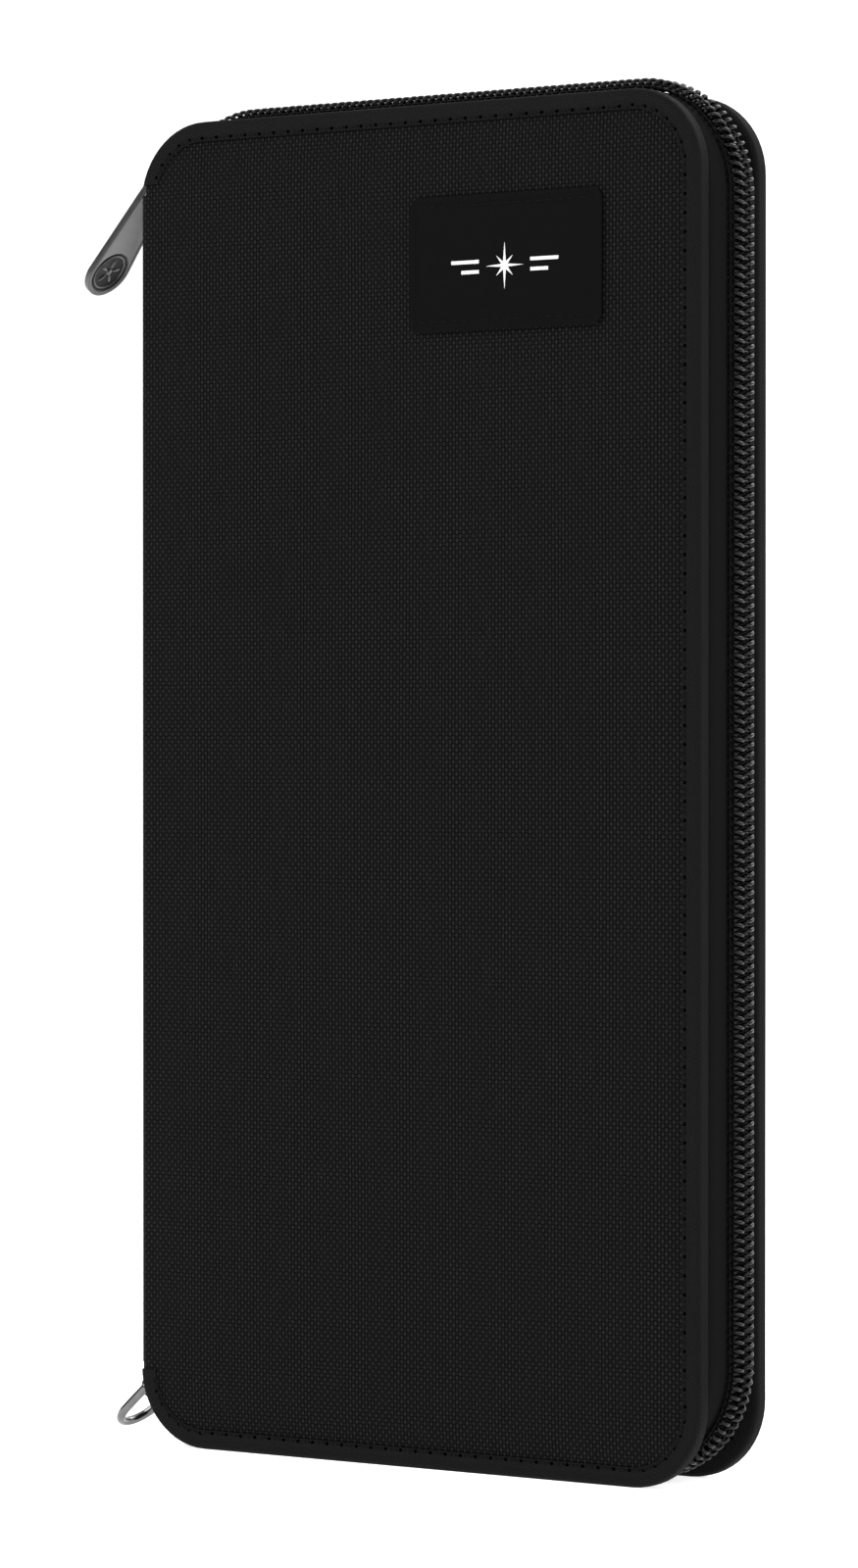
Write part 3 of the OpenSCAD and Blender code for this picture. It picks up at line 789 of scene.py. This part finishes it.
# ---------------------------------------------------------------------------------------------------------
# Linings: fine dark grey nylon on the inside of each cover and of the spine. Like the outer cloth, each
# runs round the crease and bends there. The stiffener boards lie hidden between the two.
lining_cloth = Finish("lining_cloth")
lining_uv = lining_cloth.place()
u, v, w = lining_cloth.axes(lining_uv)
fine_pitch = 0.45 * mm
one_way = ((u + w) / fine_pitch * 2 * math.pi).sine() * 0.25
fine_ribs = one_way + ((w - u) / fine_pitch * 2 * math.pi).sine() * 0.25
lining_haze = lining_cloth.noise(lining_uv, 60.0, 3.0)
lining_cloth.shade(base_color=lining_cloth.mix(fine_ribs + lining_haze * 0.5 + 0.25, (0.011, 0.011, 0.013),
                                               (0.034, 0.034, 0.038)),
                   roughness=0.5 + 0.15 * lining_haze, sheen_weight=0.05, specular_ior_level=0.3)
lining_cloth.bump(fine_ribs + lining_haze * 0.4, 0.06 * mm, 0.7)

lining_crease_r = 1.0 * mm
inner_turn_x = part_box("spine_lining")[1].x
for name, node, body, out in (("front", "front_lining", "front_cover", -1),
                              ("back", "back_lining", "back_cover", 1)):
    low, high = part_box(node)
    face_y = high.y if out < 0 else low.y
    lining = fold_cloth(name + "_lining_cloth", face_y, out, inner_turn_x, lining_crease_r,
                        lining_cloth, True)
    if out < 0:
        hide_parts(node, "spine_lining")
    else:
        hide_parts(node)

board = Finish("stiffener_board")
fibre = board.noise(board.place(), 900.0, 4.0)
board.shade(base_color=board.mix(fibre, (0.02, 0.02, 0.021), (0.045, 0.044, 0.043)), roughness=0.85)
board.bump(fibre, 0.08 * mm, 0.6)
for node in ("back_board", "front_board", "spine_board"):
    put_finish(frame["nodes"][node], board)


def remake(node, name, finish, bevel_w, segments=2, angle=30):
    """A copy of a CAD node with its edges rounded, which replaces it and rides on its body."""
    source = frame["nodes"][node]
    piece = bpy.data.objects.new(name, source.data.copy())
    bpy.context.collection.objects.link(piece)
    deselect()
    piece.hide_render = False
    piece.select_set(True)
    bpy.context.view_layer.objects.active = piece
    bpy.ops.object.mode_set(mode="EDIT")
    bpy.ops.mesh.select_all(action="SELECT")
    bpy.ops.mesh.remove_doubles(threshold=0.005 * mm)
    bpy.ops.mesh.dissolve_limited(angle_limit=math.radians(1))
    bpy.ops.object.mode_set(mode="OBJECT")
    if bevel_w:
        round_off = piece.modifiers.new("round", "BEVEL")
        round_off.width = bevel_w
        round_off.segments = segments
        round_off.limit_method = "ANGLE"
        round_off.angle_limit = math.radians(angle)
        bpy.ops.object.modifier_apply(modifier="round")
    smooth(piece, 40)
    put_finish(piece, finish)
    body = next(b for b, members in frame["record"]["behaviour"]["bodies"].items() if node in members)
    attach(piece, body)
    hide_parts(node)
    return piece


# ---------------------------------------------------------------------------------------------------------
# Label: a patch of fine smooth black cloth with a turned edge, sewn on the front cover over its foam. Its
# woven mark is a plain compass star between two lines.
label_low, label_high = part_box("label_patch")
label_t = label_high.y - label_low.y
label_gap = 0.05 * mm
label_hem = 1.1 * mm


def label_face(x, z):
    """Y of the label's outer face."""
    edge = min(x - label_low.x, label_high.x - x, z - label_low.z, label_high.z - z)
    hem = 0.14 * mm * math.exp(-((edge - label_hem / 2) / (0.45 * mm)) ** 2)
    pad = 0.12 * mm * (1 - math.exp(-max(0, edge - 1.6 * mm) / (2 * mm)))
    return front_low.y - cloth_swell(x, z, -1) - label_gap - label_t * 0.7 - hem - pad


label_cloth = Finish("label_cloth")
label_threads = weave(label_cloth, label_cloth.place("UV"), 0.34 * mm)
label_haze = label_cloth.noise(label_cloth.place("UV"), 120.0, 3.0)
# Painted light: the base colour is lighter on the weave's thread crowns, a painted sheen, and darker between the
# threads, a painted shade; the haze adds tone that varies at random.
label_cloth.shade(base_color=label_cloth.mix(label_threads * 0.7 + label_haze * 0.3, (0.0005, 0.0005, 0.0006),
                                             (0.0028, 0.0028, 0.003)),
                  roughness=0.6 + 0.15 * label_haze, specular_ior_level=0.05)
label_cloth.bump(label_threads + label_haze * 0.6, 0.05 * mm, 0.7)

deselect()
label_centre = (label_low + label_high) / 2
bpy.ops.mesh.primitive_grid_add(x_subdivisions=84, y_subdivisions=50, size=1,
                                location=(label_centre.x, front_low.y, label_centre.z),
                                rotation=(math.pi / 2, 0, 0))
label = bpy.context.object
label.name = "label_cloth_patch"
label.scale = (label_high.x - label_low.x, label_high.z - label_low.z, 1)
bpy.ops.object.transform_apply(location=True, rotation=True, scale=True)
bpy.ops.object.mode_set(mode="EDIT")
label_r = 2 * mm
for side_x, side_z in ((-1, -1), (-1, 1), (1, -1), (1, 1)):
    corner = Vector((label_low.x + label_r if side_x < 0 else label_high.x - label_r, 0,
                     label_low.z + label_r if side_z < 0 else label_high.z - label_r))
    for step in (1, 2, 3):
        angle = math.radians(22.5 * step)
        outward = Vector((side_x * math.cos(angle), 0, side_z * math.sin(angle)))
        select_faces(label, lambda f: (f.calc_center_median().x - corner.x) * side_x > 0
                     and (f.calc_center_median().z - corner.z) * side_z > 0)
        bpy.ops.mesh.bisect(plane_co=corner + outward * label_r, plane_no=outward, clear_outer=True)
mesh = bmesh.from_edit_mesh(label.data)
uv = mesh.loops.layers.uv.verify()
for face in mesh.faces:
    for loop in face.loops:
        loop[uv].uv = (loop.vert.co.x, loop.vert.co.z)
for vert in mesh.verts:
    vert.co.y = label_face(vert.co.x, vert.co.z)
bpy.ops.mesh.select_all(action="SELECT")
bpy.ops.mesh.normals_make_consistent(inside=False)
bpy.ops.object.mode_set(mode="OBJECT")
if label.data.polygons[len(label.data.polygons) // 2].normal.y > 0:
    label.data.flip_normals()
thicken(label, label_t * 0.7)
smooth(label, 50)
put_finish(label, label_cloth)
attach(label, "front_cover")
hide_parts("label_patch")

label_stitch = stitch(1.7 * mm, 0.34 * mm, 0.26 * mm)
label_pitch = 2.3 * mm
label_seam_inset = 1.7 * mm
facing_front = Vector((0, -1, 0))
places = []
count = int((label_high.x - label_low.x - 2 * label_seam_inset) / label_pitch)
for i in range(count):
    x = label_low.x + label_seam_inset + (i + 0.5) * label_pitch
    for z in (label_low.z + label_seam_inset, label_high.z - label_seam_inset):
        places.append(stand(Vector((x, label_face(x, z), z)), Vector((1, 0, 0)), facing_front))
sew("label_seam", label_stitch, places, thread, "front_cover")

white_thread = Finish("white_thread")
floss = white_thread.noise(white_thread.node("Mapping", {}, {"Vector": white_thread.place(),
                                                             "Scale": (0.2, 1, 1)}), 2600.0)
white_thread.shade(base_color=white_thread.mix(floss, (0.5, 0.5, 0.5), (0.86, 0.86, 0.87)), roughness=0.55,
                   sheen_weight=0.1)
white_thread.bump(floss, 0.06 * mm, 0.8)
mark_x = (label_low.x + label_high.x) / 2
mark_z = label_high.z - 12.8 * mm
mark_t = 0.12 * mm
strokes = []
star_long, star_short, star_waist = 4.1 * mm, 2.5 * mm, 0.75 * mm
for i in range(8):
    angle = i * math.pi / 4
    tip = star_long if i % 2 == 0 else star_short
    points = [(0, 0)]
    for turn, reach in ((-0.39, star_waist), (0, tip), (0.39, star_waist)):
        points.append((reach * math.sin(angle + turn), reach * math.cos(angle + turn)))
    strokes.append(points)
for side in (-1, 1):
    for height, inner, outer in ((0.9 * mm, 5.6 * mm, 11.6 * mm), (-0.9 * mm, 5.6 * mm, 9.4 * mm)):
        half = 0.32 * mm
        strokes.append([(side * inner, height - half), (side * outer, height - half),
                        (side * outer, height + half), (side * inner, height + half)])
mark = bmesh.new()
for points in strokes:
    mark.faces.new([mark.verts.new((mark_x + x, 0, mark_z + z)) for x, z in points])
mark_mesh = bpy.data.meshes.new("label_mark")
mark.to_mesh(mark_mesh)
mark.free()
mark_piece = bpy.data.objects.new("label_mark", mark_mesh)
bpy.context.collection.objects.link(mark_piece)
deselect()
mark_piece.select_set(True)
bpy.context.view_layer.objects.active = mark_piece
bpy.ops.object.mode_set(mode="EDIT")
bpy.ops.mesh.select_all(action="SELECT")
bpy.ops.mesh.subdivide(number_cuts=3)
bpy.ops.mesh.normals_make_consistent(inside=False)
bpy.ops.object.mode_set(mode="OBJECT")
for vert in mark_mesh.vertices:
    vert.co.y = label_face(vert.co.x, vert.co.z) - mark_t
for face in mark_mesh.polygons:
    if face.normal.y > 0:
        face.flip()
thicken(mark_piece, mark_t)
put_finish(mark_piece, white_thread)
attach(mark_piece, "front_cover")

# ---------------------------------------------------------------------------------------------------------
# Zip slider and pull tab: die-cast zinc, plated dark nickel. The tab has a flat face inside a bright
# rounded rim, and a sunk round medallion near its tip with a plain star on it.
nickel = Finish("dark_nickel_plate")
cloudy = nickel.noise(nickel.place(), 260.0, 4.0, 0.6)
brushed = nickel.noise(nickel.node("Mapping", {}, {"Vector": nickel.place(), "Scale": (1, 0.12, 1)}), 2400.0)
nickel.shade(base_color=nickel.mix(cloudy, (0.06, 0.059, 0.06), (0.115, 0.113, 0.115)), metallic=1.0,
             roughness=0.26 + 0.14 * cloudy + 0.1 * brushed)
nickel.bump(brushed * 0.5 + cloudy, 0.012 * mm, 0.6)

for node, edge in (("slider_body", 0), ("coin_slider", 0.06 * mm), ("coin_pull", 0.16 * mm)):
    remake(node, node + "_cast", nickel, edge)

# Painted shade: the floor of each sunk medallion is coloured near black, standing in for the shade inside the
# recess; the noise only varies that shade.
medallion_shade = Finish("medallion_recess_shade")
medallion_shade_mottle = medallion_shade.noise(medallion_shade.place(), 900.0, 3.0)
medallion_shade.shade(base_color=medallion_shade.mix(medallion_shade_mottle, (0.003, 0.003, 0.0033), (0.015, 0.015, 0.016)), metallic=1.0,
             roughness=0.4 + 0.2 * medallion_shade_mottle)
joint_of = {joint["name"]: joint for joint in frame["joints"]}
pivot = Vector(joint_of["pull_swing"]["pos_m"])
tab_angle = math.radians(38)
tab_l, tab_w, tab_t, neck_w = 28.5 * mm, 10.5 * mm, 1.2 * mm, 6.8 * mm
tab_leg_in, tab_window = 1.8 * mm, 3.73 * mm
bar_r = 0.87 * mm
medallion_r = 4.35 * mm
medallion_up = tab_w / 2
emblem_depth = 0.42 * mm
emblem_ring_r = 3.6 * mm
petal_out = 1.75 * mm


def join_shapes(piece, tool, how):
    """Adds the tool to the piece, or cuts it out of it."""
    change = piece.modifiers.new("change", "BOOLEAN")
    change.operation = how
    change.solver = "EXACT"
    change.object = tool
    deselect()
    piece.select_set(True)
    bpy.context.view_layer.objects.active = piece
    bpy.ops.object.modifier_apply(modifier="change")
    bpy.data.objects.remove(tool)


# The tab is modelled lying flat, with its length along -Y, and turned into its place at the end.
deselect()
bpy.ops.mesh.primitive_circle_add(vertices=64, radius=tab_w / 2, fill_type="NGON",
                                  location=(0, -tab_l + tab_w / 2, -tab_t / 2))
tab = bpy.context.object
tab.name = "pull_tab_cast"
bpy.ops.object.transform_apply(location=True)
bpy.ops.object.mode_set(mode="EDIT")
bpy.ops.mesh.select_all(action="SELECT")
bpy.ops.mesh.bisect(plane_co=(0, -tab_l + tab_w / 2, 0), plane_no=(0, 1, 0), clear_outer=True, use_fill=False)
mesh = bmesh.from_edit_mesh(tab.data)
rim_y = -tab_l + tab_w / 2
ends = sorted((v for v in mesh.verts if abs(v.co.y - rim_y) < 0.02 * mm), key=lambda v: v.co.x)
if not mesh.edges.get((ends[0], ends[-1])):
    mesh.edges.new((ends[0], ends[-1]))
upper = [mesh.verts.new((side * neck_w / 2, -tab_window, -tab_t / 2)) for side in (1, -1)]
top = [mesh.verts.new((side * neck_w / 2, bar_r, -tab_t / 2)) for side in (1, -1)]
mesh.faces.new((ends[0], ends[-1], upper[0], upper[1]))
mesh.faces.new((upper[1], upper[0], top[0], top[1]))
bpy.ops.mesh.select_all(action="SELECT")
bpy.ops.mesh.dissolve_limited(angle_limit=math.radians(0.5))
bpy.ops.mesh.extrude_region_move(TRANSFORM_OT_translate={"value": (0, 0, tab_t)})
bpy.ops.mesh.select_all(action="SELECT")
bpy.ops.mesh.normals_make_consistent(inside=False)
bpy.ops.object.mode_set(mode="OBJECT")
deselect()
bpy.ops.mesh.primitive_cube_add(size=1, location=(0, (2 * bar_r - tab_window) / 2, 0))
gap = bpy.context.object
gap.scale = (2 * tab_leg_in, tab_window + 2 * bar_r, 4 * tab_t)
join_shapes(tab, gap, "DIFFERENCE")
deselect()
tab.select_set(True)
bpy.context.view_layer.objects.active = tab
bpy.ops.object.mode_set(mode="EDIT")
for face_side in (1, -1):
    select_faces(tab, lambda f: f.normal.z * face_side > 0.9)
    bpy.ops.mesh.inset(thickness=0.5 * mm, depth=0)
    bpy.ops.mesh.inset(thickness=0.14 * mm, depth=-0.13 * mm)
bpy.ops.object.mode_set(mode="OBJECT")
for face_side in (1, -1):
    deselect()
    bpy.ops.mesh.primitive_cylinder_add(vertices=64, radius=medallion_r, depth=tab_t,
                                        location=(0, -tab_l + medallion_up, face_side * (tab_t - emblem_depth)))
    join_shapes(tab, bpy.context.object, "DIFFERENCE")
edge_round = tab.modifiers.new("round", "BEVEL")
edge_round.width = 0.12 * mm
edge_round.segments = 2
edge_round.limit_method = "ANGLE"
edge_round.angle_limit = math.radians(38)
deselect()
tab.select_set(True)
bpy.context.view_layer.objects.active = tab
bpy.ops.object.modifier_apply(modifier="round")
extras = []
bpy.ops.mesh.primitive_cylinder_add(vertices=32, radius=bar_r, depth=2 * tab_leg_in + 1.6 * mm,
                                    rotation=(0, math.pi / 2, 0))
extras.append(bpy.context.object)
for face_side in (1, -1):
    level = face_side * (tab_t / 2 - emblem_depth)
    bpy.ops.mesh.primitive_torus_add(major_segments=48, minor_segments=8, major_radius=emblem_ring_r,
                                     minor_radius=0.2 * mm, location=(0, -tab_l + medallion_up, level))
    extras.append(bpy.context.object)
    bpy.ops.mesh.primitive_uv_sphere_add(segments=24, ring_count=12, radius=0.7 * mm,
                                         location=(0, -tab_l + medallion_up, level))
    bpy.context.object.scale = (1, 1, 0.4)
    extras.append(bpy.context.object)
    for i in range(5):
        angle = 2 * math.pi * i / 5
        spot = (petal_out * math.sin(angle), -tab_l + medallion_up + petal_out * math.cos(angle), level)
        bpy.ops.mesh.primitive_uv_sphere_add(segments=12, ring_count=8, radius=0.5 * mm, location=spot,
                                             rotation=(0, 0, -angle))
        bpy.context.object.scale = (0.62, 1.9, 0.42)
        extras.append(bpy.context.object)
deselect()
for piece in extras:
    piece.select_set(True)
tab.select_set(True)
bpy.context.view_layer.objects.active = tab
bpy.ops.object.join()
bpy.ops.object.transform_apply(location=True, rotation=True, scale=True)
tab.data.materials.clear()
tab.data.materials.append(nickel.material)
tab.data.materials.append(medallion_shade.material)
# The medallion's sunk floor takes the painted recess shade as its second material.
floor_level = tab_t / 2 - emblem_depth
for face in tab.data.polygons:
    from_middle = math.hypot(face.center.x, face.center.y + tab_l - medallion_up)
    sunk = abs(abs(face.center.z) - floor_level) < 0.02 * mm and abs(face.normal.z) > 0.9
    face.material_index = 1 if sunk and from_middle < medallion_r and face.area > 0.4 * mm * mm else 0
down_tab = Vector((-math.sin(tab_angle), 0, -math.cos(tab_angle)))
tab_face = Vector((math.cos(tab_angle), 0, -math.sin(tab_angle)))
across_tab = tab_face.cross(down_tab)
turn = Matrix((across_tab, -down_tab, tab_face)).transposed()
if turn.determinant() < 0:
    turn = Matrix((-across_tab, -down_tab, tab_face)).transposed()
tab.data.transform(Matrix.Translation(pivot) @ turn.to_4x4())
smooth(tab, 30)
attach(tab, "pull")
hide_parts("pull_tab")

# ---------------------------------------------------------------------------------------------------------
# D-ring: bent steel wire, plated bright, in a loop of ribbed webbing that is sewn inside the spine.
steel = Finish("ring_steel_wire")
rubbed = steel.noise(steel.place(), 500.0, 4.0, 0.6)
steel.shade(base_color=steel.mix(rubbed, (0.08, 0.08, 0.082), (0.19, 0.19, 0.194)), metallic=1.0,
            roughness=0.14 + 0.14 * rubbed)
steel.bump(rubbed, 0.01 * mm, 0.5)
put_finish(frame["nodes"]["d_ring"], steel)

webbing = Finish("ribbed_webbing")
u, v, w = webbing.axes(webbing.place())
cords = (v / (0.9 * mm) * 2 * math.pi).sine() * 0.5 + 0.5
picks = ((u + w) / (0.5 * mm) * 2 * math.pi).sine() * 0.5 + 0.5
webbing.shade(base_color=webbing.mix(cords * 0.6 + picks * 0.4, (0.0015, 0.0015, 0.0017),
                                     (0.013, 0.013, 0.014)),
              roughness=0.7 + 0.1 * picks, specular_ior_level=0.15, sheen_weight=0.02)
webbing.bump(cords + picks * 0.7, 0.12 * mm, 0.9)
remake("d_ring_loop", "d_ring_webbing", webbing, 0.25 * mm, 3, 50)
remake("pen_loop", "pen_loop_elastic", webbing, 0.15 * mm, 2, 50)

# ---------------------------------------------------------------------------------------------------------
# Pockets: the lining's cloth, hemmed and sewn flat, with four stepped card pockets and a clear window on
# the front side, and passport, document and zipped coin pockets on the back side.
pocket_cloth = Finish("pocket_cloth")
u, v, w = pocket_cloth.axes(pocket_cloth.place())
twill = ((u + w * 0.6) / (0.6 * mm) * 2 * math.pi).sine() * 0.5 + 0.5
pocket_haze = pocket_cloth.noise(pocket_cloth.place(), 80.0, 3.0)
pocket_cloth.shade(base_color=pocket_cloth.mix(twill * 0.5 + pocket_haze * 0.5, (0.009, 0.009, 0.0105),
                                               (0.03, 0.03, 0.034)),
                   roughness=0.55 + 0.15 * pocket_haze, sheen_weight=0.05, specular_ior_level=0.3)
pocket_cloth.bump(twill + pocket_haze * 0.4, 0.06 * mm, 0.7)
film = Finish("clear_film")
creased = film.noise(film.place(), 90.0, 2.0)
film.shade(base_color=film.mix(creased, (0.86, 0.89, 0.9), (0.93, 0.95, 0.96)),
           roughness=0.08 + 0.1 * creased,
           alpha=0.25, specular_ior_level=0.5)
film.bump(creased, 0.4 * mm, 0.4)

pocket_stitch = stitch(2.2 * mm, 0.36 * mm, 0.3 * mm)
hem_inset = 3.2 * mm
edge_inset = 1.4 * mm
pockets = [("document_pocket", -1), ("passport_pocket", -1), ("boarding_pass_pocket", 1), ("window_frame", 1),
           ("coin_pocket", -1)] + [("card_pocket_%d" % (i + 1), 1) for i in range(4)]
places = {-1: [], 1: []}
for node, out in pockets:
    finish = binding_tape if node == "window_frame" else pocket_cloth
    remake(node, node + "_cloth", finish, 0.22 * mm)
    low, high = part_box(node)
    up = Vector((0, out, 0))
    face_y = high.y if out > 0 else low.y
    x = low.x + edge_inset + seam_pitch
    while x < high.x - edge_inset - seam_pitch:
        z = high.z - hem_inset if node != "window_frame" else high.z - edge_inset
        places[out].append(stand(Vector((x, face_y, z)), Vector((1, 0, 0)), up))
        if node in ("document_pocket", "passport_pocket", "boarding_pass_pocket", "coin_pocket"):
            places[out].append(stand(Vector((x, face_y, low.z + edge_inset)), Vector((1, 0, 0)), up))
        x += seam_pitch
    z = low.z + edge_inset + seam_pitch
    while z < high.z - hem_inset:
        for x in (low.x + edge_inset, high.x - edge_inset):
            places[out].append(stand(Vector((x, face_y, z)), Vector((0, 0, 1)), up))
        z += seam_pitch
sew("back_pocket_seams", pocket_stitch, places[-1], thread, "back_cover")
sew("front_pocket_seams", pocket_stitch, places[1], thread, "front_cover")
remake("clear_window", "clear_window_film", film, 0.12 * mm)
remake("coin_zip_tape", "coin_zip_cloth", zip_cloth, 0.1 * mm)

# Coin zip: the same coil, smaller, with its chain straight along the pocket.
coin_low, coin_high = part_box("coin_zip_coil")
coin_z = (coin_low.z + coin_high.z) / 2
coin_pitch = 1.1 * mm
coin_tooth = stitch(1.25 * mm, 0.62 * mm, 0.62 * mm)
places = []
x = coin_low.x + coin_pitch / 2
row = 0
while x < coin_high.x - coin_pitch / 2:
    side = 1 if row % 2 == 0 else -1
    middle = coin_z + side * 1.2 * mm
    for level in (coin_low.y + 0.3 * mm, coin_high.y - 0.3 * mm):
        lean = Vector((0.25 * side, 0, 1)).normalized()
        places.append(stand(Vector((x, level, middle)), lean, facing_front)
                      @ Matrix.Diagonal((1.45, 1, 1, 1)))
    x += coin_pitch / 2
    row += 1
coin_coil = sew("coin_coil_wire", coin_tooth, places, coil_nylon, "back_cover")
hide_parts("coin_zip_coil")

for template in (lock_stitch, seam_stitch, needle_hole, label_stitch, pocket_stitch, coin_tooth):
    bpy.data.objects.remove(template)
